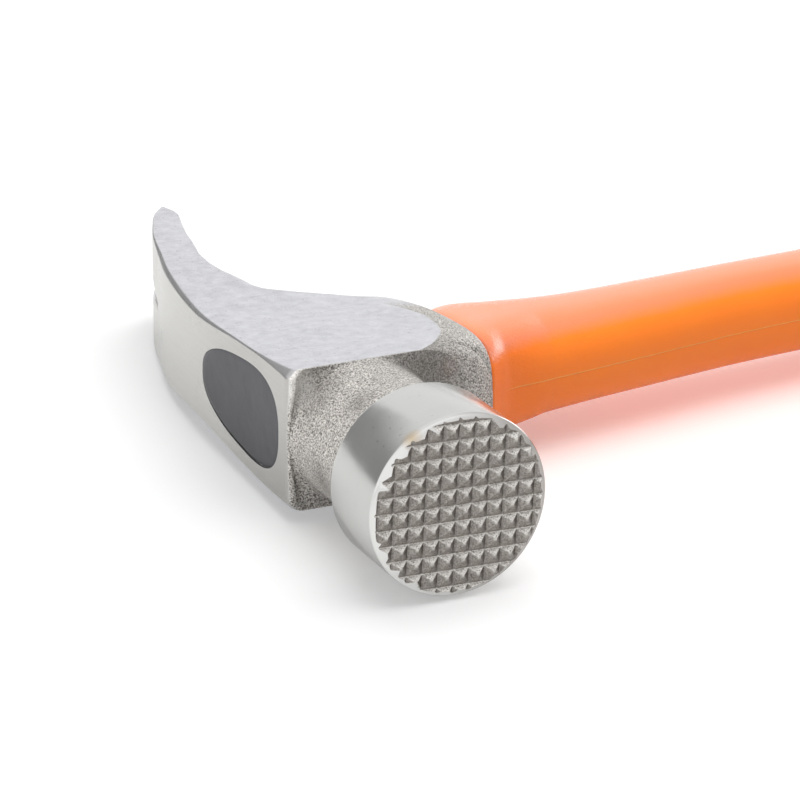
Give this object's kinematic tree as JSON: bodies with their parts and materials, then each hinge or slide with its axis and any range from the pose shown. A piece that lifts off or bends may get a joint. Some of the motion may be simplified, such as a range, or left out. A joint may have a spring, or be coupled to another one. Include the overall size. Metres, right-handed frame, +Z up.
{
  "type": "framing hammer",
  "caption": "Framing hammer lying on its side: forged head with milled face and straight rip claw, resin-bonded eye, orange moulded fibreglass handle and black grip.",
  "frame": {"origin": "centre of the striking face, in the plane of its milled points", "axes": "+X down the handle towards the butt end, +Y from the striking face back to the claw, +Z up across the cheeks as the hammer lies on its side"},
  "size_m": [0.408, 0.149, 0.036],
  "materials": {
    "forged_steel": "ground and polished cheeks, top and poll, shot-blasted neck, front wall and skirt",
    "bonding_resin": "dark satin epoxy, poured flush with the eye and slightly shrunk",
    "fibreglass": "raw pultruded rod, hidden inside",
    "orange_plastic": "semi-gloss moulded jacket with a parting line along each side",
    "black_rubber": "matt moulded grip with shallow grooves"
  },
  "bodies": {
    "root": {"head": "forged_steel", "eye_resin": "bonding_resin", "handle_core": "fibreglass", "handle_jacket": "orange_plastic", "grip_sleeve": "black_rubber"}
  },
  "joints": []
}
